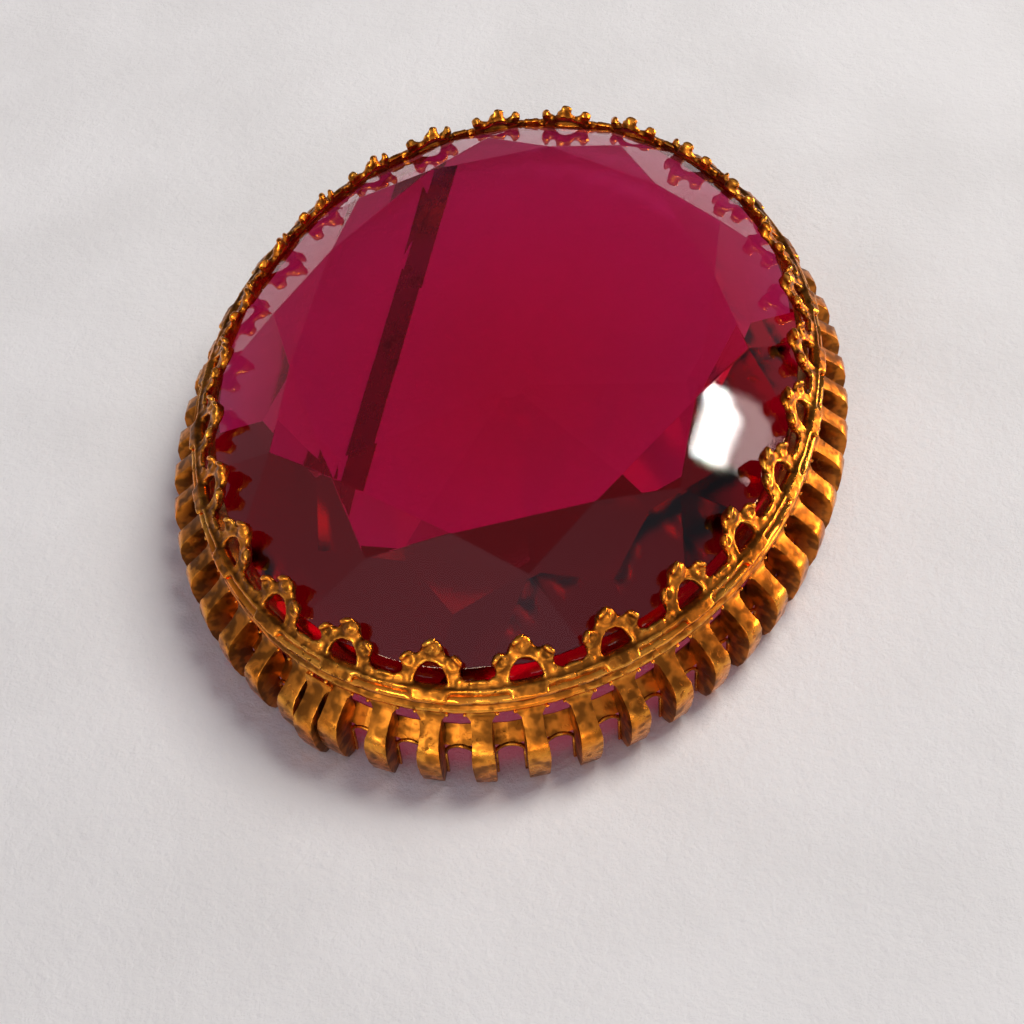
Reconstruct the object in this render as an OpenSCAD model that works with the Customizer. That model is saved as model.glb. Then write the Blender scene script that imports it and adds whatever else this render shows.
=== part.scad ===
// Oval brooch: one large faceted stone in a stamped crown-and-rib gallery,
// open at the back, with a bar, a hinged pin stem and a rolling safety catch.
// Millimetres. +Z is up through the stone, +Y is the long axis,
// and the origin is the middle of the footprint, at the lowest point of the pin fittings.

/* [Stone] */
// Long diameter of the stone at its girdle
stone_long = 40; // [34:0.5:46]
// Short diameter of the stone at its girdle
stone_short = 30; // [26:0.5:34]
// Height of the table above the girdle's lower edge
table_height = 4.0; // [3.6:0.1:4.8]
// Depth of the culet below the girdle's lower edge
culet_depth = 4.5; // [3.6:0.1:4.7]
// Share of the girdle that the table spans
table_share = 0.72; // [0.6:0.01:0.76]
// Number of main facets round the crown of the stone
mains = 10; // [8:2:12]

/* [Gallery] */
// Number of crown points round the stone
crown_points = 26; // [20:2:28]
// Number of ribs for each crown point
ribs_per_point = 2; // [1:1:2]
// Clear gap between the stone's girdle and the wall
setting_gap = 0.3; // [0.2:0.05:0.5]
// Thickness of the stamped sheet
sheet = 0.4; // [0.35:0.05:0.5]
// Width of one rib
rib_width = 1.15; // [0.9:0.05:1.3]
// How far the ribs stand out from the middle line of the wall
rib_bulge = 1.95; // [1.6:0.05:2.1]
// Lean of the crown points over the stone, in degrees
crown_lean = 38; // [30:1:42]

/* [Back fittings] */
// Distance from the middle of the brooch to the hinge, and to the catch
fitting_reach = 13; // [11:0.5:14]
// Radius of the pin stem
stem_radius = 0.42; // [0.4:0.01:0.5]
// Outer radius of the catch housing
housing_radius = 1.7; // [1.6:0.05:1.8]
// Width of the bar across the back
bar_width = 1.3; // [1.2:0.1:2]
// How far the bar lies to the left of the middle, so that the brooch hangs upright when worn
bar_offset = 7; // [0:0.5:8]

/* [Hidden] */

gold = [0.78, 0.56, 0.2];
dark_gold = [0.62, 0.43, 0.16];
ruby = [0.6, 0.02, 0.12, 0.75];
steel = [0.72, 0.66, 0.5];

// Heights, upwards from the lowest point of the catch
mouth = 1.05;
stem_z = sqrt(pow(housing_radius, 2) - pow(mouth / 2, 2));
bar_thick = 0.9;
pad_thick = 0.5;
pad_radius = 1.9;
stem_to_pad = 1.75;
bar_bottom = stem_z + stem_to_pad + pad_thick;
bar_top = bar_bottom + bar_thick;
rib_foot = bar_top;
rib_rise = 4.44;
rib_top = rib_foot + rib_rise;
rail_height = 1.2;
rail_top = rib_top + rail_height;
girdle_drop = 0.5;
girdle_z = rail_top - girdle_drop;
girdle_thick = 1.1;

// The wall's middle line is an oval just outside the stone
wall_a = stone_short / 2 + setting_gap + sheet + 0.2;
wall_b = stone_long / 2 + setting_gap + sheet + 0.2;
ring_sides = 104;

// Inner face of the rib strip, measured outwards from the wall's middle line
strip_inner = -sheet / 2 - 0.12;

// Equal steps of length round the wall's oval, from the -Y end towards +X
steps = 720;
function oval_point(a, b, t) = [a * sin(t), -b * cos(t)];
function step_length(i) = norm(oval_point(wall_a, wall_b, (i + 1) * 360 / steps)
    - oval_point(wall_a, wall_b, i * 360 / steps));
lengths = [for (i = 0, s = 0; i <= steps; s = s + step_length(i), i = i + 1) [s, i * 360 / steps]];
oval_length = lengths[steps][0];
function angle_at(share) = lookup(share * oval_length, lengths);

// Turn of the outward normal at an angle round the oval, measured from +X
function normal_turn(t) = atan2(-cos(t) / wall_b, sin(t) / wall_a);

function oval(a, b, n = ring_sides) = [for (i = [0:n - 1]) oval_point(a, b, i * 360 / n)];

// Puts its children at a share of the way round the wall: +X outwards, +Z up
module at_wall(share, out = 0) {
    t = angle_at(share);
    translate(oval_point(wall_a, wall_b, t))
        rotate([0, 0, normal_turn(t)]) translate([out, 0, 0]) children();
}

// A flat oval band between two offsets from the wall's middle line
module oval_band(inner, outer, low, high) {
    translate([0, 0, low]) linear_extrude(high - low) difference() {
        polygon(oval(wall_a + outer, wall_b + outer));
        polygon(oval(wall_a + inner, wall_b + inner));
    }
}

// ---- Stone ----
facet_step = 360 / mains;
junction_share = 0.83;
main_half = facet_step * 0.28;
culet_share = 0.05;
pavilion_share = 0.62;

// A facet's height over its own middle line: fixed at one share of the girdle, then sloping
function facet_height(share, at_share, at_z, slope) = at_z - slope * (share - at_share);

crown_slope = (table_height - girdle_thick) / (1 - table_share);
junction_z = facet_height(junction_share * cos(facet_step / 2), table_share, table_height, crown_slope);
corner_z = facet_height(cos(main_half), table_share, table_height, crown_slope);
half_slope = (junction_z - corner_z) / (cos(facet_step / 2 - main_half) - junction_share);
pavilion_slope = culet_depth * 0.8 / (1 - culet_share);
low_junction_z = -culet_depth + pavilion_slope * (pavilion_share * cos(facet_step / 2) - culet_share);
low_half_slope = low_junction_z / (1 - pavilion_share);

// Upper and lower edges of the girdle, scalloped where the flat facets cut its oval
function main_off(t) = t - facet_step * round(t / facet_step);
function half_off(t) = facet_step / 2 - abs(main_off(t));
function girdle_top(t) = min(facet_height(cos(main_off(t)), table_share, table_height, crown_slope),
    facet_height(cos(half_off(t)), junction_share, junction_z, half_slope));
function girdle_low(t) = low_junction_z - low_half_slope * (cos(half_off(t)) - pavilion_share);

function stone_point(share, t, z) = [share * stone_short / 2 * sin(t), -share * stone_long / 2 * cos(t), z];

module stone() {
    girdle_turns = [for (i = [0:mains - 1], off = [-1, -0.5, 0, 0.5, 1, 1.4, 1.8, 2.2]) i * facet_step
        + off * main_half];
    points = concat(
        [for (i = [0:mains - 1]) stone_point(table_share, i * facet_step, table_height)],
        [for (i = [0:mains - 1]) stone_point(junction_share, (i + 0.5) * facet_step, junction_z)],
        [for (t = girdle_turns) stone_point(1, t, girdle_top(t))],
        [for (t = girdle_turns) stone_point(1, t, girdle_low(t))],
        [for (i = [0:mains - 1]) stone_point(pavilion_share, (i + 0.5) * facet_step, low_junction_z)],
        [for (i = [0:mains - 1]) stone_point(culet_share, i * facet_step, -culet_depth)]);
    color(ruby) translate([0, 0, girdle_z])
        hull() polyhedron(points, faces = [[for (i = [0:len(points) - 1]) i]]);
}

// ---- Crown gallery ----
band_height = 0.4;
point_thick = 0.5;
point_low = 0.22;
foot_half_width = 1.75;
shoulder = [1.5, 0.95];
tip_half_width = 0.35;
tip_height = 2.15;
lobe_radius = 0.46;
side_lobe = [0.85, 1.5];
foot_lobe = [1.45, 0.75];
window_width = 1.5;
window_low = 0.4;
window_sides = 0.35;

// One crown point, flat: its foot near the X axis, its tip up, a D-shaped window in the middle
module crown_outline() {
    difference() {
        union() {
            polygon([[-foot_half_width, point_low], [foot_half_width, point_low], shoulder,
                [tip_half_width, tip_height], [-tip_half_width, tip_height], [-shoulder[0], shoulder[1]]]);
            translate([0, tip_height]) circle(r = lobe_radius, $fn = 24);
            for (side = [-1, 1]) {
                translate([side * side_lobe[0], side_lobe[1]]) circle(r = lobe_radius, $fn = 24);
                translate([side * foot_lobe[0], foot_lobe[1]]) circle(r = lobe_radius, $fn = 24);
            }
        }
        translate([-window_width / 2, window_low]) square([window_width, window_sides]);
        translate([0, window_low + window_sides]) intersection() {
            circle(r = window_width / 2, $fn = 24);
            translate([-window_width / 2, 0]) square([window_width, window_width]);
        }
    }
}

module crown_gallery() {
    color(gold) union() {
        oval_band(-sheet / 2, sheet / 2, rail_top, rail_top + band_height);
        for (k = [0:crown_points - 1])
            at_wall(k / crown_points) translate([0, 0, rail_top]) rotate([0, -crown_lean, 0])
                rotate([90, 0, 90]) translate([0, 0, -point_thick / 2]) linear_extrude(point_thick)
                    crown_outline();
    }
}

// ---- Rail between crown and ribs ----
module rail_wire() {
    color(gold) union() {
        oval_band(-sheet / 2, sheet / 2 + 0.1, rib_top, rail_top);
        oval_band(sheet / 2, sheet / 2 + 0.45, rib_top + 0.1, rib_top + 0.45);
        oval_band(sheet / 2, sheet / 2 + 0.4, rail_top - 0.5, rail_top - 0.15);
    }
}

// ---- Rib gallery ----
rib_count = crown_points * ribs_per_point;
hoop_low = rib_foot + 2.0;
hoop_high = rib_foot + 3.3;
collar_low = rib_top - 0.35;
flute_wall = sheet * 0.8;
seam_at = (rib_count - 2.5) / rib_count;
seam_out = 0.3;
seam_drop = 0.25;

// The rib's side view, from the inner face of the strip: out under the rail, down, and in to the foot
rib_outline = [
    [strip_inner, 0],
    [0.35, 0],
    [rib_bulge - 0.2, -1.1],
    [rib_bulge, -1.6],
    [rib_bulge, -2.2],
    [rib_bulge - 0.4, -3.8],
    [rib_bulge - 0.85, -rib_rise],
    [strip_inner, -rib_rise],
];

// One pressed rib: a curved outer strip with two side walls, open towards the stone
module rib() {
    rotate([90, 0, 0]) translate([0, 0, -rib_width / 2]) difference() {
        translate([0, rib_top, 0]) linear_extrude(rib_width) polygon(rib_outline);
        translate([-sheet, rib_top - sheet, flute_wall]) linear_extrude(rib_width - 2 * flute_wall)
            polygon(rib_outline);
    }
}

module rib_gallery() {
    color(dark_gold) union() {
        oval_band(strip_inner, sheet / 2, hoop_low, hoop_high);
        oval_band(strip_inner, sheet / 2, collar_low, rib_top);
        for (j = [0:rib_count - 1]) at_wall(j / rib_count) rib();
        // the strip's free end laps over its start, a little out and down
        at_wall(seam_at, seam_out) translate([0, 0, -seam_drop]) rib();
    }
}

// ---- Seat that the stone's pavilion rests on, just under its girdle ----
seat_width = 1.2;
seat_thick = 0.5;
seat_top = rib_top + 0.15;

module seat_ring() {
    color(dark_gold) oval_band(strip_inner - seat_width, strip_inner, seat_top - seat_thick, seat_top);
}

// ---- Back bar and pads ----
bar_overhang = 0.4;
bar_half = wall_b * sqrt(1 - pow(bar_offset / wall_a, 2)) + bar_overhang;

module back_bar() {
    color(gold) translate([0, 0, bar_bottom]) linear_extrude(bar_thick)
        translate([-bar_width / 2, -bar_half]) square([bar_width, 2 * bar_half]);
}

module pad(side) {
    color(gold) translate([0, side * fitting_reach, bar_bottom - pad_thick])
        cylinder(h = pad_thick, r = pad_radius, $fn = 64);
}

// ---- Hinge ----
rivet_radius = 0.35;
eye_radius = 1.0;
eye_width = 1.0;
ear_thick = 0.45;
ear_gap = eye_width + 0.12;
ear_radius = 1.2;
joint_height = stem_to_pad;
floor_thick = 0.35;

module along_x(r, length) {
    rotate([0, 90, 0]) translate([0, 0, -length / 2]) cylinder(r = r, h = length, $fn = 48);
}

module hinge_joint() {
    width = ear_gap + 2 * ear_thick;
    color(gold) translate([0, fitting_reach, stem_z]) difference() {
        union() {
            for (side = [-1, 1]) translate([side * (ear_gap + ear_thick) / 2, 0, 0]) {
                along_x(ear_radius, ear_thick);
                translate([-ear_thick / 2, -ear_radius, 0]) cube([ear_thick, 2 * ear_radius, joint_height]);
            }
            translate([-width / 2, -ear_radius, joint_height - floor_thick])
                cube([width, 2 * ear_radius, floor_thick]);
        }
        along_x(rivet_radius, width + 1);
    }
}

module hinge_rivet() {
    head = 0.25;
    span = ear_gap + 2 * ear_thick;
    color(steel) translate([0, fitting_reach, stem_z]) union() {
        along_x(rivet_radius, span);
        for (side = [-1, 1]) translate([side * (span + head) / 2, 0, 0]) along_x(rivet_radius + 0.25, head);
    }
}

// ---- Pin stem, closed in the catch ----
running_gap = 0.04;
neck_height = 1.1;
neck_end = fitting_reach - 1.8;
shaft_end = -(fitting_reach - 1.6);
tip_end = -(fitting_reach + 3.4);
tip_radius = 0.06;

// A square heel behind the eye strikes the joint's floor when the stem stands open
heel_reach = joint_height - floor_thick + 0.1;
heel_thick = 0.6;
open_angle = 95;
heel_spare = 2;
heel_corner = norm([heel_reach, heel_thick / 2]);
heel_turn = open_angle + heel_spare + atan2(heel_thick / 2, heel_reach)
    - asin((joint_height - floor_thick) / heel_corner);

module along_y(r1, r2, from, to) {
    translate([0, from, stem_z]) rotate([90, 0, 0]) cylinder(r1 = r1, r2 = r2, h = from - to, $fn = 48);
}

module pin_stem() {
    color(steel) difference() {
        union() {
            translate([0, fitting_reach, stem_z]) along_x(eye_radius, eye_width);
            translate([0, fitting_reach, stem_z]) rotate([-heel_turn, 0, 0])
                translate([-eye_width / 2, 0, -heel_thick / 2]) cube([eye_width, heel_reach, heel_thick]);
            translate([-eye_width / 2, neck_end, stem_z - neck_height / 2])
                cube([eye_width, fitting_reach - neck_end, neck_height]);
            along_y(stem_radius, stem_radius, neck_end, shaft_end);
            along_y(stem_radius, tip_radius, shaft_end, tip_end);
        }
        translate([0, fitting_reach, stem_z]) along_x(rivet_radius + running_gap, eye_width + 1);
    }
}

// ---- Catch: a fixed C-shaped housing and a roller that turns in it ----
housing_length = 1.5;
bore_radius = 1.15;
roller_radius = bore_radius - running_gap;
roller_hole = 0.5;
flange_radius = 1.5;
flange_thick = 0.4;
flange_gap = 0.05;

foot_half = 1.3;
tab_length = 1.5;
tab_width = 0.7;
tab_angle = 200;

module catch_housing() {
    color(gold) translate([0, -fitting_reach, stem_z]) difference() {
        union() {
            rotate([90, 0, 0]) translate([0, 0, -housing_length / 2])
                cylinder(r = housing_radius, h = housing_length, $fn = 64);
            translate([-foot_half, -housing_length / 2, 0])
                cube([2 * foot_half, housing_length, stem_to_pad]);
        }
        rotate([90, 0, 0]) translate([0, 0, -housing_length / 2 - 1])
            cylinder(r = bore_radius, h = housing_length + 2, $fn = 64);
        translate([-mouth / 2, -housing_length / 2 - 1, -housing_radius - 1])
            cube([mouth, housing_length + 2, housing_radius + 1]);
    }
}

module catch_roller() {
    inner = housing_length + 2 * flange_gap;
    whole = inner + 2 * flange_thick;
    color(gold) translate([0, -fitting_reach, stem_z]) difference() {
        union() {
            rotate([90, 0, 0]) translate([0, 0, -whole / 2])
                cylinder(r = roller_radius, h = whole, $fn = 64);
            for (side = [-1, 1]) translate([0, side * (inner + flange_thick) / 2, 0])
                rotate([90, 0, 0]) translate([0, 0, -flange_thick / 2])
                    cylinder(r = flange_radius, h = flange_thick, $fn = 64);
            rotate([0, -tab_angle, 0]) translate([roller_radius, -whole / 2, -tab_width / 2])
                cube([flange_radius - roller_radius + tab_length, flange_thick, tab_width]);
        }
        rotate([90, 0, 0]) translate([0, 0, -whole / 2 - 1])
            cylinder(r = roller_hole, h = whole + 2, $fn = 48);
        translate([-mouth / 2, -whole / 2 - 1, -flange_radius - 1])
            cube([mouth, whole + 2, flange_radius + 1]);
    }
}

// The back fittings are drawn over the middle and moved to the bar's line
module behind() {
    translate([-bar_offset, 0, 0]) children();
}

stone();
crown_gallery();
rail_wire();
rib_gallery();
seat_ring();
behind() back_bar();
behind() pad(1);  // joint_pad
behind() pad(-1);  // catch_pad
behind() hinge_joint();
behind() hinge_rivet();
behind() pin_stem();
behind() catch_housing();
behind() catch_roller();
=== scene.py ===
# %% [markdown]
# # Oval brooch with a red stone in a crown-and-rib gallery
# The CAD parts arrive as a fixed frame, and this lesson dresses them. The stamped gallery
# strips are modelled flat, as the press makes them, and are then bent round the stone. The stone
# is cut facet by facet. The pin fittings keep their CAD shapes and get their finish here.

# %% Load the frame
import math

import bpy
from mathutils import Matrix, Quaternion, Vector


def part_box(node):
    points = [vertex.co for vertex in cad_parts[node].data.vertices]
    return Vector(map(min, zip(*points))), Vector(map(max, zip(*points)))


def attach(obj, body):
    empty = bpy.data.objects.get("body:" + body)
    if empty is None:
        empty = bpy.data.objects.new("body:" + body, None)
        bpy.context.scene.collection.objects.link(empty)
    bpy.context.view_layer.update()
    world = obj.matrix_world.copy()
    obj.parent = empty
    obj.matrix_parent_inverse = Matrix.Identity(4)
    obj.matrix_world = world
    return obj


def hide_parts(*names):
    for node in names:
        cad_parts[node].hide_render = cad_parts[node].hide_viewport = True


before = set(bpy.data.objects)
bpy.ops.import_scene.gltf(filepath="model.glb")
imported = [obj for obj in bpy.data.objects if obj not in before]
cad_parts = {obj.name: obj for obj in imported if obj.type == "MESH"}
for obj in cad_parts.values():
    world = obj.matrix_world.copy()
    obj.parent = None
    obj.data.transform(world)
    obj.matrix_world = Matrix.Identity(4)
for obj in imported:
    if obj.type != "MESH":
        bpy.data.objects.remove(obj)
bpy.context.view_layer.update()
MM = 0.001

# %% [markdown]
# ## Levels and sizes
# Everything is placed from the boxes of the CAD nodes. The wall's middle line is an oval a little
# wider than the stone. The heights of the rail's top, the ribs' top and their feet come from the
# nodes that end there.

# %% Read the driving sizes
stone_low, stone_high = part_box("stone")
POINTS = 26
RIBS = 2 * POINTS
STONE_A = stone_high.x
STONE_B = stone_high.y
WALL_OUT = 0.9 * MM
WALL_A = STONE_A + WALL_OUT
WALL_B = STONE_B + WALL_OUT
RAIL_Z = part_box("rail_wire")[1].z
RIB_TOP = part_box("rib_gallery")[1].z
RIB_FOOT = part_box("back_bar")[1].z
for level_name, level in (("rail top", RAIL_Z), ("rib top", RIB_TOP), ("rib foot", RIB_FOOT)):
    print(level_name, "at", round(level / MM, 2), "mm")

# %% [markdown]
# ## Small modelling helpers
# An operator works on whatever is selected, so each step starts from an empty selection. These
# helpers pick one object, apply a modifier, or choose edges and faces by a test on their place.

# %% Selection and modifiers
def only(*pieces):
    """Selects these pieces and nothing else."""
    bpy.ops.object.select_all(action="DESELECT")
    for piece in pieces:
        piece.select_set(True)
    bpy.context.view_layer.objects.active = pieces[0]


def newest(name):
    """Names the piece that the last operator made."""
    piece = bpy.context.object
    piece.name = name
    piece.data.name = name
    return piece


def settle(piece):
    """Writes the piece's move, turn and scale into its points."""
    only(piece)
    bpy.ops.object.transform_apply(location=True, rotation=True, scale=True)
    return piece


def modify(piece, kind, **settings):
    """Adds one modifier and applies it."""
    only(piece)
    modifier = piece.modifiers.new(kind.title(), kind)
    for name, value in settings.items():
        setattr(modifier, name, value)
    bpy.ops.object.modifier_apply(modifier=modifier.name)
    return piece


def pick(piece, domain, test):
    """In edit mode, selects the faces, edges or points that pass a test."""
    bpy.ops.mesh.select_mode(type=domain)
    bpy.ops.mesh.select_all(action="DESELECT")
    bpy.ops.object.mode_set(mode="OBJECT")
    mesh = piece.data
    if domain == "FACE":
        for face in mesh.polygons:
            face.select = test(face)
    if domain == "EDGE":
        for edge in mesh.edges:
            first, second = (mesh.vertices[v].co for v in edge.vertices)
            edge.select = test(first, second)
    if domain == "VERT":
        for vertex in mesh.vertices:
            vertex.select = test(vertex.co)
    bpy.ops.object.mode_set(mode="EDIT")


def merged(name, pieces):
    """Joins pieces into one."""
    only(*pieces)
    bpy.ops.object.join()
    return newest(name)


def tidy(piece, gap):
    """Welds points closer than the gap and turns the normals outwards."""
    only(piece)
    bpy.ops.object.mode_set(mode="EDIT")
    bpy.ops.mesh.select_all(action="SELECT")
    bpy.ops.mesh.remove_doubles(threshold=gap)
    bpy.ops.mesh.normals_make_consistent(inside=False)
    bpy.ops.object.mode_set(mode="OBJECT")
    return piece


def smooth(piece, angle):
    """Shades smoothly, except across edges sharper than the angle in degrees."""
    only(piece)
    bpy.ops.object.shade_smooth_by_angle(angle=math.radians(angle))
    return piece


# %% [markdown]
# ## The camera
# The camera looks down on the near end of the oval at about 49 degrees, from a little to the
# right of the long axis. Its place is given from the rail, so it follows the model's height.

# %% Place the camera
CAMERA_AT = Vector((15.853, -66.145, 66.213)) * MM
LOOK = Vector((-0.1591, 0.6397, -0.7520))
UP = Vector((-0.0878, 0.7495, 0.6561))
LENS = 63.15
NEAREST = 0.005
FARTHEST = 5
camera_data = bpy.data.cameras.new("camera")
camera_data.lens = LENS
camera_data.clip_start = NEAREST
camera_data.clip_end = FARTHEST
camera = bpy.data.objects.new("camera", camera_data)
bpy.context.scene.collection.objects.link(camera)
side = LOOK.cross(UP).normalized()
above = side.cross(LOOK).normalized()
turn = camera.rotation_euler.to_matrix()
turn.col[0] = side
turn.col[1] = above
turn.col[2] = -LOOK.normalized()
camera.matrix_world = turn.to_4x4()
camera.location = CAMERA_AT + Vector((0, 0, RAIL_Z))
bpy.context.scene.camera = camera
print("camera at mm", [round(v / MM, 1) for v in camera.location])

# %% [markdown]
# ## The stone
# A gem is cut by laying it against a flat wheel again and again. Bisect does the same: each cut
# throws away what lies beyond one plane and fills the flat face that is left. The mains run from
# the girdle to the table, with one star facet and one girdle facet between each two. The back
# has mains and girdle facets too. The shares are parts of the way from the middle to the girdle.

# %% Cut the stone
MAINS = 10
STEP = 360 / MAINS
TABLE_SHARE = 0.72
JUNCTION_SHARE = 0.83
MAIN_HALF = 10
PAVILION_SHARE = 0.62
CULET_SHARE = 0.05
PAVILION_REACH = 0.8
OUTLINE_SIDES = 160
GIRDLE_THICK = 1.1 * MM
GIRDLE_DROP = 0.5 * MM
EDGE_WEAR = 0.035 * MM
GIRDLE_Z = RAIL_Z - GIRDLE_DROP
TABLE_Z = stone_high.z
CULET_Z = stone_low.z


def cosine(degrees):
    return math.cos(math.radians(degrees))


def sine(degrees):
    return math.sin(math.radians(degrees))


def cut_facet(turn, in_share, in_z, out_share, out_z):
    """Cuts with the plane through two points of the section at this turn, level across it."""
    slope = (in_z - out_z) / (out_share - in_share)
    up = -1 if out_z > in_z else 1
    normal = Vector((slope * sine(turn) / STONE_A, -slope * cosine(turn) / STONE_B, 1)) * up
    point = Vector((in_share * STONE_A * sine(turn), -in_share * STONE_B * cosine(turn), in_z))
    bpy.ops.mesh.select_all(action="SELECT")
    bpy.ops.mesh.bisect(plane_co=point, plane_no=normal, use_fill=True, clear_outer=True,
                        threshold=0.0002 * MM)


def cut_stone():
    """Starts from an oval drum and cuts every facet round it, one turn after another."""
    middle = (TABLE_Z + CULET_Z) / 2
    bpy.ops.mesh.primitive_cylinder_add(vertices=OUTLINE_SIDES, radius=1, depth=TABLE_Z - CULET_Z,
                                        location=(0, 0, middle))
    piece = newest("cut_stone")
    piece.scale = (STONE_A, STONE_B, 1)
    settle(piece)
    crown_slope = (TABLE_Z - GIRDLE_Z - GIRDLE_THICK) / (1 - TABLE_SHARE)
    junction_z = TABLE_Z - crown_slope * (JUNCTION_SHARE * cosine(STEP / 2) - TABLE_SHARE)
    corner_z = TABLE_Z - crown_slope * (cosine(MAIN_HALF) - TABLE_SHARE)
    half_slope = (junction_z - corner_z) / (cosine(STEP / 2 - MAIN_HALF) - JUNCTION_SHARE)
    pavilion_slope = (GIRDLE_Z - CULET_Z) * PAVILION_REACH / (1 - CULET_SHARE)
    low_z = CULET_Z + pavilion_slope * (PAVILION_SHARE * cosine(STEP / 2) - CULET_SHARE)
    bpy.ops.object.mode_set(mode="EDIT")
    for i in range(MAINS):
        main = i * STEP
        between = main + STEP / 2
        cut_facet(main, TABLE_SHARE, TABLE_Z, 1, TABLE_Z - crown_slope * (1 - TABLE_SHARE))
        cut_facet(between, TABLE_SHARE * cosine(STEP / 2), TABLE_Z, JUNCTION_SHARE, junction_z)
        edge_z = junction_z - half_slope * (1 - JUNCTION_SHARE)
        cut_facet(between, JUNCTION_SHARE, junction_z, 1, edge_z)
        cut_facet(main, CULET_SHARE, CULET_Z, 1, CULET_Z + pavilion_slope * (1 - CULET_SHARE))
        cut_facet(between, PAVILION_SHARE, low_z, 1, GIRDLE_Z)
    bpy.ops.object.mode_set(mode="OBJECT")
    tidy(piece, gap=0.002 * MM)
    modify(piece, "BEVEL", width=EDGE_WEAR, segments=2, limit_method="ANGLE",
           angle_limit=math.radians(6))
    smooth(piece, angle=4)
    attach(piece, "setting")
    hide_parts("stone")
    print("stone faces", len(piece.data.polygons))
    return piece


stone = cut_stone()

# %% [markdown]
# ## Bending a flat strip round the stone
# The gallery is bought as straight strip, cut to length and bent round. An Array repeats the
# pressed unit, and a Curve modifier bends the row onto an oval. The oval runs so that a strip's
# +Y side faces outwards and its middle unit lands at the near end.

# %% The oval guide
def oval_guide():
    bpy.ops.object.select_all(action="DESELECT")
    bpy.ops.curve.primitive_bezier_circle_add(radius=1, location=(0, 0, 0))
    guide = newest("oval_guide")
    guide.data.resolution_u = 64
    guide.scale = (WALL_A, WALL_B, 1)
    settle(guide)
    guide.data.use_radius = False
    guide.hide_render = True
    return guide


guide = oval_guide()
ROUND = guide.data.splines[0].calc_length()
PITCH = ROUND / POINTS
RIB_PITCH = ROUND / RIBS
print("oval length", round(ROUND / MM, 2), "mm, one point every", round(PITCH / MM, 2), "mm")


def bend_round(piece, pitch, count):
    """Repeats a unit centred on X = 0, and bends the row round the oval."""
    modify(piece, "ARRAY", count=count, use_relative_offset=False, use_constant_offset=True,
           constant_offset_displace=(pitch, 0, 0), use_merge_vertices=True,
           merge_threshold=0.004 * MM)
    return modify(piece, "CURVE", object=guide, deform_axis="POS_X")


# %% [markdown]
# ## The crown strip
# Each crown point is a plate with a D-shaped window, a rolled leaf at its tip, two leaves on its
# shoulders and a curl at each foot. The plate is made of flat discs and a block, with rings and
# flattened spheres laid on it for the rolled edges. Remesh melts them into one skin, a Boolean
# cuts the window, and the plate is leaned over the stone. A band, two valley tabs and a sill join
# it to the rail. Sizes in the calls are millimetres, measured on the plate: x along the strip,
# z upwards and out away from the stone.

# %% Model one crown point
LEAN = 38
WINDOW_Z = 0.42
WINDOW_RADII = (0.8, 1.12)
PLATE_THICK = 0.34
BODY_RADII = (1.42, 0.92)
TIP_RADII = (0.62, 0.58)
TAB_LEAN = 22
SILL_LEAN = 48
SOFT_EDGE = 0.05
GRAIN = 0.085 * MM


def lump(name, x, z, radii, roll=0, out=0.0):
    """A flattened sphere. Its radii are half the width, the thickness and the height."""
    bpy.ops.mesh.primitive_uv_sphere_add(segments=20, ring_count=12, radius=1,
                                         location=(x * MM, out * MM, z * MM),
                                         rotation=(0, math.radians(roll), 0))
    piece = newest(name)
    piece.scale = [r * MM for r in radii]
    return settle(piece)


def loop(name, x, z, major, minor, stretch=1.0, out=0.0):
    """A ring that faces outwards, stretched upwards."""
    bpy.ops.mesh.primitive_torus_add(major_segments=32, minor_segments=10,
                                     major_radius=major * MM, minor_radius=minor * MM,
                                     location=(x * MM, out * MM, z * MM),
                                     rotation=(math.radians(90), 0, 0))
    piece = newest(name)
    settle(piece)
    bpy.ops.object.origin_set(type="ORIGIN_GEOMETRY", center="BOUNDS")
    piece.scale = (1, 1, stretch)
    return settle(piece)


def slab(name, width, y_range, z_range, x=0.0):
    """A block with rounded edges."""
    middle = (x * MM, sum(y_range) / 2 * MM, sum(z_range) / 2 * MM)
    bpy.ops.mesh.primitive_cube_add(size=1, location=middle)
    piece = newest(name)
    piece.scale = (width * MM, (y_range[1] - y_range[0]) * MM, (z_range[1] - z_range[0]) * MM)
    settle(piece)
    return modify(piece, "BEVEL", width=SOFT_EDGE * MM, segments=2, limit_method="ANGLE")


def disc(name, x, z, radii, thick):
    """A flat oval plate that faces outwards."""
    bpy.ops.mesh.primitive_cylinder_add(vertices=40, radius=1, depth=thick * MM,
                                        location=(x * MM, 0, z * MM),
                                        rotation=(math.radians(90), 0, 0))
    piece = newest(name)
    piece.scale = (radii[0] * MM, radii[1] * MM, 1)
    return settle(piece)


def keep_above(piece, z):
    """Cuts a piece at a height and closes the cut."""
    only(piece)
    bpy.ops.object.mode_set(mode="EDIT")
    bpy.ops.mesh.select_all(action="SELECT")
    bpy.ops.mesh.bisect(plane_co=(0, 0, z * MM), plane_no=(0, 0, -1), clear_outer=True,
                        use_fill=True)
    bpy.ops.object.mode_set(mode="OBJECT")
    return piece


def trim_sides(piece, width):
    """Cuts a unit to its share of the strip, so that the next one starts where it ends."""
    only(piece)
    bpy.ops.object.mode_set(mode="EDIT")
    for hand in (-1, 1):
        bpy.ops.mesh.select_all(action="SELECT")
        bpy.ops.mesh.bisect(plane_co=(hand * width / 2, 0, 0), plane_no=(hand, 0, 0),
                            clear_outer=True, threshold=0.0005 * MM)
    bpy.ops.object.mode_set(mode="OBJECT")


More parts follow.
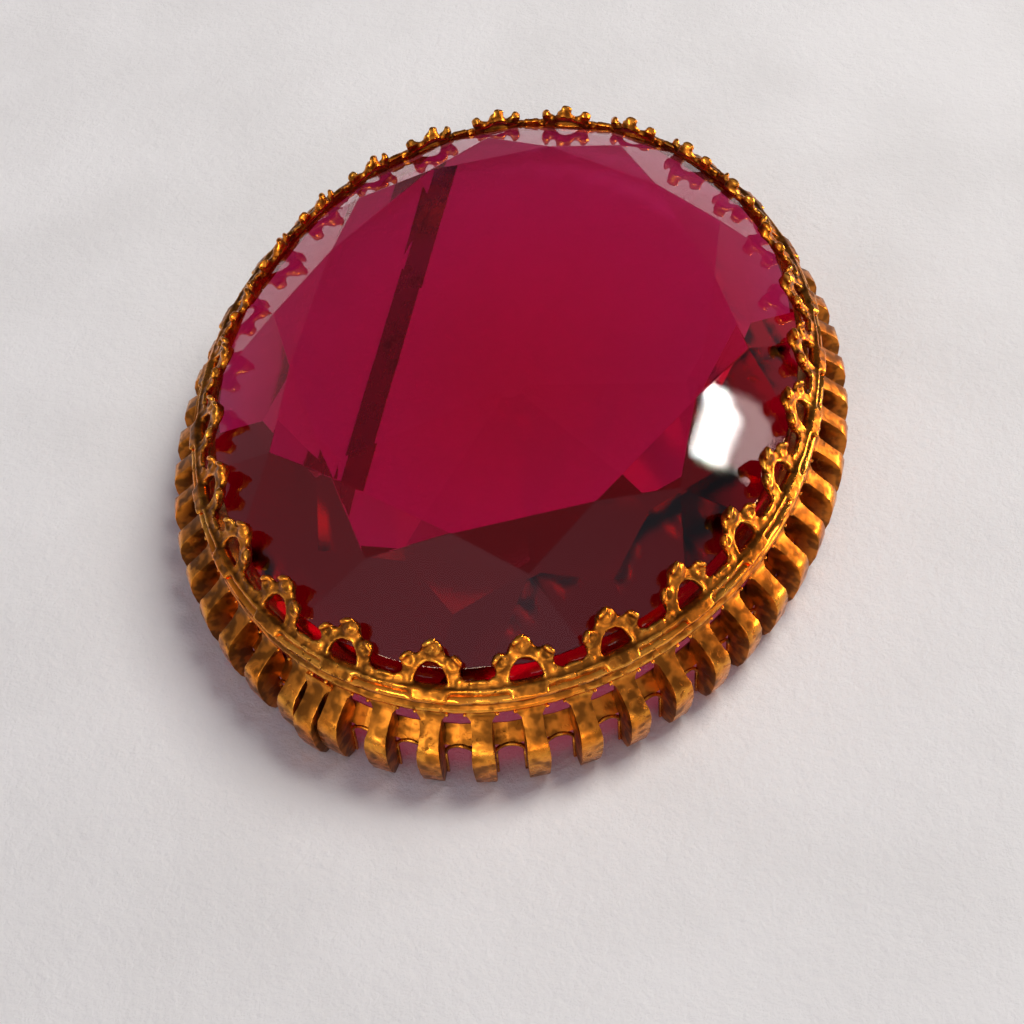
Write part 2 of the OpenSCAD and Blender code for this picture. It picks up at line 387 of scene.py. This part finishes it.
def pierced_plate():
    """The flat of a point, with rolled lobes and a D-shaped window through it."""
    half = PLATE_THICK / 2
    parts = [
        disc("plate_body", x=0, z=1.0, radii=BODY_RADII, thick=PLATE_THICK),
        disc("plate_tip", x=0, z=1.85, radii=TIP_RADII, thick=PLATE_THICK),
        slab("plate_foot", width=3.5, y_range=(-half, half), z_range=(-0.1, 0.62)),
        loop("tip_roll", x=-0.04, z=2.14, major=0.32, minor=0.15, stretch=0.9, out=0.2),
        lump("tip_fold", x=0.16, z=2.4, radii=(0.42, 0.2, 0.15), roll=30, out=0.42),
        lump("tip_crease", x=-0.1, z=2.12, radii=(0.14, 0.16, 0.26), roll=-35, out=0.3),
    ]
    for hand in (-1, 1):
        parts += [
            loop("shoulder_roll", x=hand * 1.12, z=1.44, major=0.29, minor=0.14, out=0.16),
            lump("shoulder_fold", x=hand * 1.3, z=1.64, radii=(0.15, 0.2, 0.38),
                 roll=-hand * 42, out=0.36),
            loop("foot_curl", x=hand * 1.5, z=0.5, major=0.17, minor=0.11, out=0.17),
        ]
    plate = merged("pierced_plate", parts)
    modify(plate, "REMESH", mode="VOXEL", voxel_size=GRAIN)
    cutter = keep_above(disc("window", x=0, z=WINDOW_Z, radii=WINDOW_RADII, thick=2), WINDOW_Z)
    modify(plate, "BOOLEAN", operation="DIFFERENCE", object=cutter, solver="EXACT")
    only(cutter)
    bpy.ops.object.delete()
    return plate


def tilted(piece, degrees, y=0, z=0):
    """Leans a piece inwards and moves it."""
    piece.rotation_euler.x = math.radians(degrees)
    piece.location = (0, y * MM, z * MM)
    return settle(piece)


def crown_unit():
    """A point with its share of the band, half a valley tab on each side, and the sill."""
    width = PITCH / MM
    rim = loop("window_rim", x=0, z=WINDOW_Z, major=0.87, minor=0.09, stretch=1.33, out=0.15)
    keep_above(rim, WINDOW_Z)
    parts = [tilted(pierced_plate(), LEAN), tilted(rim, LEAN)]
    parts.append(slab("band", width=width + 0.1, y_range=(-0.2, 0.22), z_range=(0.0, 0.42)))
    for hand in (-1, 1):
        tab = slab("valley_tab", width=0.8, y_range=(-0.14, 0.16), z_range=(0.05, 0.72),
                   x=hand * width / 2)
        parts.append(tilted(tab, TAB_LEAN))
    sill = slab("window_sill", width=1.7, y_range=(-0.1, 0.1), z_range=(-0.26, 0.26))
    parts.append(tilted(sill, SILL_LEAN, y=0.34, z=0.14))
    unit = merged("crown_unit", parts)
    modify(unit, "REMESH", mode="VOXEL", voxel_size=GRAIN, use_smooth_shade=True)
    modify(unit, "SMOOTH", factor=0.5, iterations=1)
    trim_sides(unit, PITCH)
    unit.location.z = RAIL_Z
    return settle(unit)


def worn_skin(piece, size, depth):
    """Raises and lowers the surface by up to half of depth, in waves about size mm long."""
    grain = bpy.data.textures.new("cast_grain_" + piece.name, "CLOUDS")
    grain.noise_scale = size * MM
    grain.noise_depth = 3
    return modify(piece, "DISPLACE", texture=grain, strength=depth * MM, mid_level=0.5,
                  texture_coords="LOCAL")


crown = bend_round(crown_unit(), PITCH, POINTS)
crown.name = "crown_strip"
tidy(crown, gap=0.02 * MM)
worn_skin(crown, size=0.5, depth=0.10)
smooth(crown, angle=60)
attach(crown, "setting")
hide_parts("crown_gallery")
print("crown strip faces", len(crown.data.polygons))

# %% [markdown]
# ## The rib strip
# A rib is one strap, pressed into a channel: it starts in a T-shaped head under the rail, slopes
# outwards, bends, and runs down and in to its foot. An edge is extruded from station to station.
# Its two sides are then drawn back to a plane near the wall, and to one farther out below the
# bend, where the channel is shallow. Each station is outwards, up and half width, in millimetres
# from the wall's middle line and the ribs' top.

# %% Model one rib and the arch beside it
RIB_STATIONS = (
    (0.26, 0.22, 0.76),
    (0.36, 0.02, 0.74),
    (0.44, -0.10, 0.60),
    (0.56, -0.22, 0.48),
    (1.00, -0.56, 0.43),
    (1.52, -0.95, 0.43),
    (1.76, -1.18, 0.46),
    (1.90, -1.62, 0.48),
    (1.90, -2.10, 0.48),
    (1.80, -2.90, 0.46),
    (1.55, -3.70, 0.44),
    (1.25, -4.20, 0.41),
    (0.85, -4.42, 0.36),
)
CHEEK_TOP = 0.1
CHEEK_LOW = 0.6
BEND_Z = -1.9
STRAP = 0.2
SHELF_SECTION = ((-0.12, -1.38), (0.02, -1.52), (0.60, -2.12))
SHELF_THICK = 0.16
ARCH_Z = -2.72
ARCH_RADIUS = 0.66
ARCH_WIRE = 0.1
ARCH_OUT = 0.64


def ribbon(name, stations):
    """A strip of faces along stations of (outwards, up, half width), all in mm."""
    first, second = stations[0], stations[1]
    middle = [(a + b) / 2 * MM for a, b in zip(first, second)]
    run, rise = first[0] - second[0], first[1] - second[1]
    bpy.ops.mesh.primitive_plane_add(size=1, location=(0, middle[0], middle[1]),
                                     rotation=(math.atan2(rise, run), 0, 0))
    piece = newest(name)
    piece.scale = (2 * first[2] * MM, math.hypot(run, rise) * MM, 1)
    settle(piece)
    bpy.ops.object.mode_set(mode="EDIT")
    lowest = min(v.co.z for v in piece.data.vertices)
    pick(piece, "EDGE", lambda a, b: max(a.z, b.z) < lowest + 0.001 * MM)
    bpy.ops.transform.resize(value=(second[2] / first[2], 1, 1))
    for here, there in zip(stations[1:], stations[2:]):
        step = (0, (there[0] - here[0]) * MM, (there[1] - here[1]) * MM)
        bpy.ops.mesh.extrude_region_move(TRANSFORM_OT_translate={"value": step})
        bpy.ops.transform.resize(value=(there[2] / here[2], 1, 1))
    bpy.ops.object.mode_set(mode="OBJECT")
    return piece


# Grey levels of painted shade: faces turned from the light, and the shelf deep behind the ribs.
TURNED_AWAY_SHADE = 0.66
DEEP_SHADE = 0.45


def paint_shade(piece, in_light, shade_level=TURNED_AWAY_SHADE):
    """Paints shade: greys the faces that fail the test, where less light falls, before the dirt pass
    darkens creases further.
    """
    layer = piece.data.color_attributes.new(name="hollows", type="BYTE_COLOR", domain="CORNER")
    for face in piece.data.polygons:
        level = 1.0 if in_light(face) else shade_level
        for corner in face.loop_indices:
            layer.data[corner].color = (level, level, level, 1)


def rib_strap():
    """One rib: the front of the channel, its two cheeks and their thickness."""
    strap = ribbon("rib_strap", RIB_STATIONS)
    bpy.ops.object.mode_set(mode="EDIT")
    pick(strap, "EDGE", lambda a, b: a.x * b.x > 0)
    bpy.ops.mesh.extrude_region_move(TRANSFORM_OT_translate={"value": (0, 0, 0)})
    bpy.ops.transform.resize(value=(1, 0, 1), center_override=(0, CHEEK_TOP * MM, 0))
    inner = (CHEEK_TOP + 0.01) * MM
    pick(strap, "VERT", lambda spot: spot.y < inner and spot.z < BEND_Z * MM)
    bpy.ops.transform.resize(value=(1, 0, 1), center_override=(0, CHEEK_LOW * MM, 0))
    bpy.ops.mesh.select_all(action="SELECT")
    bpy.ops.mesh.normals_make_consistent(inside=False)
    bpy.ops.object.mode_set(mode="OBJECT")
    if sum(face.normal.y * face.area for face in strap.data.polygons) < 0:
        bpy.ops.object.mode_set(mode="EDIT")
        bpy.ops.mesh.flip_normals()
        bpy.ops.object.mode_set(mode="OBJECT")
    modify(strap, "SOLIDIFY", thickness=STRAP * MM, offset=-1)
    modify(strap, "BEVEL", width=0.06 * MM, segments=2, limit_method="ANGLE",
           angle_limit=math.radians(50))
    # Painted shade: the rib's cheeks and faces turned down are greyed; faces turned out and up, or
    # straight in, stay bright.
    paint_shade(strap, lambda face: face.normal.y + face.normal.z > 0.35 or face.normal.y < -0.5)
    return strap


def rib_unit():
    """A rib with its share of the shelf behind it and half an arch on each side."""
    width = RIB_PITCH / MM
    parts = [rib_strap()]
    shelf = ribbon("shelf", [(y, z, width / 2) for y, z in SHELF_SECTION])
    modify(shelf, "SOLIDIFY", thickness=SHELF_THICK * MM, offset=0)
    # Painted shade: the whole shelf behind the ribs is greyed darker still.
    paint_shade(shelf, lambda face: False, shade_level=DEEP_SHADE)
    parts.append(shelf)
    for hand in (-1, 1):
        arch = loop("arch", x=hand * width / 2, z=ARCH_Z, major=ARCH_RADIUS, minor=ARCH_WIRE,
                    out=ARCH_OUT)
        leg = slab("arch_leg", width=0.18, y_range=(0.56, 0.72), z_range=(-4.25, ARCH_Z),
                   x=hand * (width / 2 - ARCH_RADIUS))
        for wire in (keep_above(arch, ARCH_Z), leg):
            # Painted shade: the sides and backs of the arch wires are greyed; their outward faces
            # stay bright.
            paint_shade(wire, lambda face: face.normal.y > 0.2)
            parts.append(wire)
    unit = merged("rib_unit", parts)
    trim_sides(unit, RIB_PITCH)
    unit.location.z = RIB_TOP
    return settle(unit)


LAP_AT = 2.5
LAP_OUT = 0.25 * MM
LAP_DROP = 0.2 * MM


def lapped_rib():
    """The strip's free end, laid over its start, between the third and the fourth rib."""
    strap = rib_strap()
    strap.name = "lapped_rib"
    strap.location = (LAP_AT * RIB_PITCH, LAP_OUT, RIB_TOP - LAP_DROP)
    settle(strap)
    return modify(strap, "CURVE", object=guide, deform_axis="POS_X")


end_rib = lapped_rib()
ribs = bend_round(rib_unit(), RIB_PITCH, RIBS)
ribs = merged("rib_strip", [ribs, end_rib])
worn_skin(ribs, size=0.7, depth=0.05)
smooth(ribs, angle=40)
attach(ribs, "setting")
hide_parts("rib_gallery")
print("rib strip faces", len(ribs.data.polygons))

# %% [markdown]
# ## The rail
# Crown and ribs meet in a double rail: two worn lips with a groove between them, and a tiny bead
# each side of a rib's head. Its section is a closed ribbon as wide as one rib's share of the
# strip, given as outwards and up in millimetres from the wall's middle line and the rail's top.

# %% Model the rail
RAIL_SECTION = (
    (0.28, 0.05),
    (0.44, -0.06),
    (0.46, -0.24),
    (0.36, -0.40),
    (0.25, -0.50),
    (0.25, -0.62),
    (0.37, -0.72),
    (0.43, -0.88),
    (0.38, -1.04),
    (0.22, -1.12),
    (-0.20, -1.12),
    (-0.20, 0.05),
)


RAIL_SLICES = 6
BEAD_RADIUS = 0.09


def rail_unit():
    """The rail over one rib, with its two beads."""
    width = RIB_PITCH / MM
    section = ribbon("rail", [(y, z, width / 2) for y, z in RAIL_SECTION + RAIL_SECTION[:1]])
    bpy.ops.object.mode_set(mode="EDIT")
    bpy.ops.mesh.select_all(action="SELECT")
    bpy.ops.mesh.remove_doubles(threshold=0.002 * MM)
    for i in range(1, RAIL_SLICES):
        bpy.ops.mesh.select_all(action="SELECT")
        bpy.ops.mesh.bisect(plane_co=((i / RAIL_SLICES - 0.5) * RIB_PITCH, 0, 0),
                            plane_no=(1, 0, 0), threshold=0.0005 * MM)
    bpy.ops.mesh.select_all(action="SELECT")
    bpy.ops.mesh.normals_make_consistent(inside=False)
    bpy.ops.object.mode_set(mode="OBJECT")
    parts = [section]
    for hand in (-1, 1):
        parts.append(lump("bead", x=hand * 0.72, z=-1.08, radii=[BEAD_RADIUS] * 3, out=0.42))
    unit = merged("rail_unit", parts)
    unit.location.z = RAIL_Z
    return settle(unit)


rail = bend_round(rail_unit(), RIB_PITCH, RIBS)
rail.name = "rail"
tidy(rail, gap=0.004 * MM)
worn_skin(rail, size=0.45, depth=0.09)
smooth(rail, angle=50)
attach(rail, "setting")
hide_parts("rail_wire")
print("rail faces", len(rail.data.polygons))

# %% [markdown]
# ## Writing shader maths
# A material is a board of nodes. The Wire class lets a socket be added, multiplied and compared
# like a number, so the recipe reads as a formula, and Board makes every other node by one method.

# %% Wires and boards
class Wire:
    """One output socket, ready for sums."""
    def __init__(self, board, socket):
        self.board = board
        self.socket = socket

    def maths(self, operation, *values, clamp=False):
        settings = {"operation": operation, "use_clamp": clamp}
        return self.board.node("ShaderNodeMath", settings, *values)

    def __add__(self, other):
        return self.maths("ADD", self, other)

    def __radd__(self, other):
        return self.maths("ADD", other, self)

    def __sub__(self, other):
        return self.maths("SUBTRACT", self, other)

    def __mul__(self, other):
        return self.maths("MULTIPLY", self, other)

    def clipped(self):
        return self.maths("ADD", self, 0.0, clamp=True)

    def between(self, low, high):
        """0 below low, 1 above high, and smooth between them."""
        return self.board.node("ShaderNodeMapRange", {"interpolation_type": "SMOOTHSTEP"},
                               self, low, high, 0.0, 1.0)


class Board:
    """One material and its nodes."""
    def __init__(self, name):
        self.material = bpy.data.materials.new(name)
        self.material.use_nodes = True
        self.tree = self.material.node_tree
        self.tree.nodes.clear()

    def node(self, kind, settings=None, *values, output=0, **named):
        made = self.tree.nodes.new(kind)
        for key, value in (settings or {}).items():
            setattr(made, key, value)
        for index, value in enumerate(values):
            self.feed(made.inputs[index], value)
        for key, value in named.items():
            self.feed(made.inputs[key.replace("_", " ")], value)
        return Wire(self, made.outputs[output])

    def feed(self, socket, value):
        if isinstance(value, Wire):
            self.tree.links.new(value.socket, socket)
        else:
            socket.default_value = value

    def blend(self, share, first, second):
        """A mix of two colours."""
        made = self.tree.nodes.new("ShaderNodeMix")
        made.data_type = "RGBA"
        for key, value in ((0, share), (6, first), (7, second)):
            if isinstance(value, tuple):
                value = (*value, 1)
            self.feed(made.inputs[key], value)
        return Wire(self, made.outputs[2])

    def place(self):
        """The point on the object, counted in millimetres."""
        spot = self.node("ShaderNodeTexCoord", None, output=3)
        return self.node("ShaderNodeVectorMath", {"operation": "SCALE"}, spot, Scale=1 / MM)

    def noise(self, place, scale, detail=4.0, rough=0.55):
        return self.node("ShaderNodeTexNoise", None, Vector=place, Scale=scale, Detail=detail,
                         Roughness=rough)

    def bump(self, height, strength, depth):
        return self.node("ShaderNodeBump", None, Strength=strength, Distance=depth, Height=height)

    def finish(self, surface, volume=None):
        out = self.tree.nodes.new("ShaderNodeOutputMaterial")
        self.tree.links.new(surface.socket, out.inputs["Surface"])
        if volume is not None:
            self.tree.links.new(volume.socket, out.inputs["Volume"])
        return self.material


def dress(piece, material):
    piece.data.materials.clear()
    piece.data.materials.append(material)


# %% [markdown]
# ## Old gold
# The gallery is stamped brass with a thin gold plating that was darkened and rubbed back. So the
# hollows stay brown and the high places shine. Vertex paint's dirt pass finds the hollows and
# darkens them, partly as that tarnish and partly as painted shade. It adds to the painted shade
# already laid as grey on the faces inside the ribs.

# %% Mark the hollows
DIRT_AND_SHADE_BLUR = 0.6
DIRT_AND_SHADE_FROM = 35
DIRT_AND_SHADE_TO = 150


def mark_hollows(piece):
    """Darkens creases in the hollows attribute, as tarnish and as painted shade, where 0 is deep and
    1 is open.
    """
    only(piece)
    if "hollows" not in piece.data.color_attributes:
        paint_shade(piece, lambda face: True)
    piece.data.attributes.active_color = piece.data.color_attributes["hollows"]
    bpy.ops.object.mode_set(mode="VERTEX_PAINT")
    bpy.ops.paint.vertex_color_dirt(blur_strength=DIRT_AND_SHADE_BLUR, blur_iterations=1,
                                    clean_angle=math.radians(DIRT_AND_SHADE_TO),
                                    dirt_angle=math.radians(DIRT_AND_SHADE_FROM),
                                    dirt_only=False, normalize=True)
    bpy.ops.object.mode_set(mode="OBJECT")


for piece in (crown, ribs, rail):
    mark_hollows(piece)
    levels = [corner.color[0] for corner in piece.data.color_attributes["hollows"].data]
    print(piece.name, "hollows from", round(min(levels), 2), "to", round(max(levels), 2))


# %% [markdown]
# The finish reads that attribute and breaks its edge with noise. Each noise has its own scale, in
# waves per millimetre: clouds wider than a rib, spots smaller than one, blots as small dark
# stains, and a fine grain in the polish. Tarnish is the sum of the hollows, spots and blots, so it
# carries the painted shade of the hollows along with real tarnish. It browns the gold and makes it
# rougher.

# %% Mix old gold
ORANGE_GOLD = (0.90, 0.25, 0.018)
YELLOW_GOLD = (0.88, 0.38, 0.05)
DARK_BROWN = (0.20, 0.066, 0.009)
WARM_BROWN = (0.52, 0.17, 0.020)
POLISH = 0.15
WEAR_DEPTH = 0.07 * MM


def old_gold(name):
    board = Board(name)
    place = board.place()
    hollow = board.node("ShaderNodeVertexColor", {"layer_name": "hollows"})
    open_face = board.node("ShaderNodeSeparateColor", None, hollow)
    cloud = board.noise(place, 0.35)
    spots = board.noise(place, 1.7, detail=1.4, rough=0.5)
    blots = board.noise(place, 3.0, detail=4.0, rough=0.5)
    fine = board.noise(place, 6.0, detail=3.0)
    # Painted shade from the hollows attribute, broken by spots, turns the gold brown here, along
    # with real tarnish in the creases.
    shade = (open_face + (spots - 0.5) * 0.5).between(0.70, 0.42)
    spot_mask = spots.between(0.60, 0.68) * 0.55
    blot_mask = blots.between(0.60, 0.64) * cloud.between(0.42, 0.60)
    tarnish = (shade + spot_mask + blot_mask).clipped()
    gold = board.blend(cloud.between(0.35, 0.65), ORANGE_GOLD, YELLOW_GOLD)
    brown = board.blend(spots.between(0.40, 0.60), DARK_BROWN, WARM_BROWN)
    colour = board.blend(tarnish, gold, brown)
    rough = POLISH + tarnish * 0.26 + (fine - 0.5) * 0.12
    height = spots * 0.5 + fine * 0.3 - blot_mask * 0.6
    normal = board.bump(height, 0.45, WEAR_DEPTH)
    return board.finish(board.node("ShaderNodeBsdfPrincipled", None, Base_Color=colour, Metallic=1.0,
                                   Roughness=rough, Normal=normal))


gallery_gold = old_gold("old_gold")
for piece in (crown, ribs, rail):
    dress(piece, gallery_gold)
    print(piece.name, "wears", gallery_gold.name)


# %% [markdown]
# ## Ruby glass
# The colour of a red glass comes from its depth, so it is given as absorption inside the body,
# and the surface itself stays nearly clear. Rubbed marks and scratches dull the polish.

# %% Mix ruby glass
FACE_TINT = (1.0, 0.92, 0.97, 1)
BODY_RED = (0.980, 0.04, 0.69, 1)
BODY_DENSITY = 400.0
GLASS_INDEX = 1.49
RUB_DULLNESS = 0.02
SCRATCH_DULLNESS = 0.08


def ruby_glass():
    board = Board("ruby_glass")
    place = board.place()
    rub = board.noise(place, 0.5, detail=6.0)
    scratch = board.noise(place, 6.0, detail=8.0, rough=0.7)
    rubbed = rub.between(0.55, 0.75) * RUB_DULLNESS
    scratched = scratch.between(0.64, 0.72) * SCRATCH_DULLNESS
    rough = rubbed + scratched
    normal = board.bump(scratch, 0.05, 0.01 * MM)
    surface = board.node("ShaderNodeBsdfPrincipled", None, Base_Color=FACE_TINT, IOR=GLASS_INDEX,
                         Roughness=rough, Transmission_Weight=1.0, Normal=normal)
    body = board.node("ShaderNodeVolumeAbsorption", None, Color=BODY_RED, Density=BODY_DENSITY)
    return board.finish(surface, body)


dress(stone, ruby_glass())
print(stone.name, "wears", stone.data.materials[0].name)


# %% [markdown]
# ## Plain gold and pin wire
# The fittings behind were bought ready and soldered on. They are plainer: satin plating with
# fine lines drawn along Y, a little darker in cloudy patches.

# %% Mix the fittings' finishes
def fitting_metal(name, light, dark, drawn):
    board = Board(name)
    place = board.place()
    cloud = board.noise(place, 0.8)
    stretched = board.node("ShaderNodeVectorMath", {"operation": "MULTIPLY"}, place, drawn)
    lines = board.noise(stretched, 3.0, detail=3.0)
    tarnish = (cloud + (lines - 0.5) * 0.3).between(0.5, 0.75)
    colour = board.blend(tarnish, light, dark)
    rough = 0.24 + tarnish * 0.2 + (lines - 0.5) * 0.12
    normal = board.bump(lines, 0.15, 0.02 * MM)
    return board.finish(board.node("ShaderNodeBsdfPrincipled", None, Base_Color=colour, Metallic=1.0,
                                   Roughness=rough, Normal=normal))


plain_gold = fitting_metal("plain_gold", light=(0.84, 0.60, 0.24), dark=(0.42, 0.24, 0.07),
                           drawn=(4.0, 0.4, 4.0))
pin_wire = fitting_metal("pin_wire", light=(0.82, 0.74, 0.52), dark=(0.45, 0.36, 0.2),
                         drawn=(6.0, 0.2, 6.0))
GOLD_FITTINGS = ("seat_ring", "back_bar", "joint_pad", "catch_pad", "hinge_joint",
                 "catch_housing", "catch_roller")
WIRE_FITTINGS = ("pin_stem", "hinge_rivet")
for name in GOLD_FITTINGS:
    dress(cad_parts[name], plain_gold)
for name in WIRE_FITTINGS:
    dress(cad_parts[name], pin_wire)
print("gold on", GOLD_FITTINGS, "and wire on", WIRE_FITTINGS)

# %% [markdown]
# ## The floor
# The brooch lies on a pale padded surface that the pin fittings sink into, so the floor meets
# the rib feet. From below it lets the view through, so the back can be studied.

# %% Lay the floor
FLOOR_SIZE = 1.2
FLOOR_GAP = 0.05 * MM
SHADED_PALE = (0.74, 0.72, 0.69)
BRIGHT_PALE = (0.80, 0.78, 0.75)


def lay_floor():
    bpy.ops.object.select_all(action="DESELECT")
    bpy.ops.mesh.primitive_plane_add(size=FLOOR_SIZE, location=(0, 0, RIB_FOOT - FLOOR_GAP))
    floor = newest("floor")
    settle(floor)
    board = Board("pale_padding")
    place = board.place()
    cloud = board.noise(place, 0.08)
    fluff = board.noise(place, 1.6, detail=8.0, rough=0.7)
    colour = board.blend(cloud.between(0.3, 0.7), SHADED_PALE, BRIGHT_PALE)
    normal = board.bump(fluff, 0.5, 0.4 * MM)
    padding = board.node("ShaderNodeBsdfPrincipled", None, Base_Color=colour, Roughness=0.95,
                         Normal=normal)
    clear = board.node("ShaderNodeBsdfTransparent", None)
    from_below = board.node("ShaderNodeNewGeometry", None, output=6)
    dress(floor, board.finish(board.node("ShaderNodeMixShader", None, from_below, padding, clear)))
    return floor


floor = lay_floor()
print("floor at", round((RIB_FOOT - FLOOR_GAP) / MM, 2), "mm")

# %% [markdown]
# ## The lamps
# Each lamp is a soft box with one job, so it is told which surfaces see it. The overhead box
# lights the padding, and the other three are seen only as reflections in the gold and the stone.

# %% Hang the lamps
LAMP_WHITE = (1.0, 0.99, 0.96)
LAMP_CREAM = (1.0, 0.95, 0.66)
LAMP_AMBER = (1.0, 0.80, 0.52)
LAMP_ORANGE = (1.0, 0.66, 0.28)


def lamp(name, place, aim, size, power, colour, spin=0, matt=False, shiny=True,
         shape="RECTANGLE"):
    """A soft box. It can light matt surfaces, leave its image in shiny ones, or both."""
    light = bpy.data.lights.new(name, "AREA")
    light.shape = shape
    light.size = size[0]
    light.size_y = size[1]
    light.energy = power
    light.color = colour
    holder = bpy.data.objects.new(name, light)
    bpy.context.scene.collection.objects.link(holder)
    holder.location = place
    way = Vector(aim) - Vector(place)
    roll = Quaternion((0, 0, 1), math.radians(spin))
    holder.rotation_euler = (way.to_track_quat("-Z", "Y") @ roll).to_euler()
    holder.visible_diffuse = matt
    holder.visible_glossy = shiny
    holder.visible_transmission = False
    holder.visible_camera = False
    print(name, "at", [round(v, 3) for v in place], "with", power, "W")
    return holder


centre = (0, 0, RAIL_Z)
lamp("overhead", place=(0.20, 0.18, 0.46), aim=centre, size=(0.26, 0.26), power=2.4,
     colour=LAMP_WHITE, matt=True, shiny=False)
lamp("front_fill", place=(-0.09, -0.36, 0.24), aim=centre, size=(0.20, 0.12), power=0.60,
     colour=LAMP_CREAM)
lamp("low_front", place=(0.10, -0.40, 0.10), aim=centre, size=(0.40, 0.10), power=0.35,
     colour=LAMP_AMBER)
lamp("right_glow", place=(0.36, 0.16, 0.03), aim=centre, size=(0.24, 0.08), power=1.7,
     colour=LAMP_ORANGE)

# %% [markdown]
# One facet at the stone's near right throws a window's light to the camera. So the window lamp
# stands on the ray that this facet mirrors, and a dim warm sill hangs just below it.

# %% Hang the window and its sill
GLINT_FROM = Vector((11.35, -5.83, 2.57)) * MM
GLINT_WAY = Vector((0.732, 0.496, 0.468))
GLINT_DISTANCE = 0.35
GLINT_SPIN = -21
SILL_SHIFT = Vector((0.0015, 0.001, -0.0105))
glint_from = GLINT_FROM + Vector((0, 0, RAIL_Z))
window_at = glint_from + GLINT_DISTANCE * GLINT_WAY
lamp("window_glint", place=window_at, aim=glint_from, size=(0.030, 0.0080), power=0.040,
     colour=(1.0, 0.99, 0.95), spin=GLINT_SPIN)
lamp("window_sill_glow", place=window_at + SILL_SHIFT, aim=glint_from, size=(0.026, 0.009),
     power=0.004, colour=(1.0, 0.80, 0.78), spin=GLINT_SPIN)

# %% [markdown]
# Light that has passed through the stone lies pink on the padding. Path tracing finds little of
# it, so a faint red lamp as large as the setting stands for it, just above the ribs' feet.

# %% Add the glow under the stone
GLOW_RED = (1.0, 0.04, 0.17)
GLOW_HEIGHT = 0.4 * MM
lamp("stone_glow", place=Vector((0, 0, RIB_FOOT + GLOW_HEIGHT)), aim=(0, 0, 0),
     size=(2 * WALL_A, 2 * WALL_B), power=0.0006, colour=GLOW_RED, matt=True, shiny=False,
     shape="ELLIPSE")

# %% [markdown]
# ## The room
# The room is brighter towards the viewer and dim high up behind the brooch, because the stone's
# table mirrors that part and has to stay deep red. Height times depth tells the parts apart.

# %% Fill the room
ROOM_COLOUR = (0.84, 0.80, 0.96, 1)
ROOM_FADE = {"From Min": 0.42, "From Max": -0.45, "To Min": 0.11, "To Max": 0.62}
world = bpy.data.worlds.new("room")
bpy.context.scene.world = world
world.use_nodes = True
nodes = world.node_tree.nodes
links = world.node_tree.links
background = nodes["Background"]
direction = nodes.new("ShaderNodeTexCoord")
axes = nodes.new("ShaderNodeSeparateXYZ")
behind_above = nodes.new("ShaderNodeMath")
behind_above.operation = "MULTIPLY"
fade = nodes.new("ShaderNodeMapRange")
fade.interpolation_type = "SMOOTHSTEP"
for socket, value in ROOM_FADE.items():
    fade.inputs[socket].default_value = value
links.new(direction.outputs["Generated"], axes.inputs[0])
links.new(axes.outputs["Y"], behind_above.inputs[0])
links.new(axes.outputs["Z"], behind_above.inputs[1])
links.new(behind_above.outputs[0], fade.inputs["Value"])
links.new(fade.outputs[0], background.inputs["Strength"])
background.inputs["Color"].default_value = ROOM_COLOUR
bpy.context.scene.view_settings.view_transform = "Standard"
print("room strength from", ROOM_FADE["To Min"], "to", ROOM_FADE["To Max"])
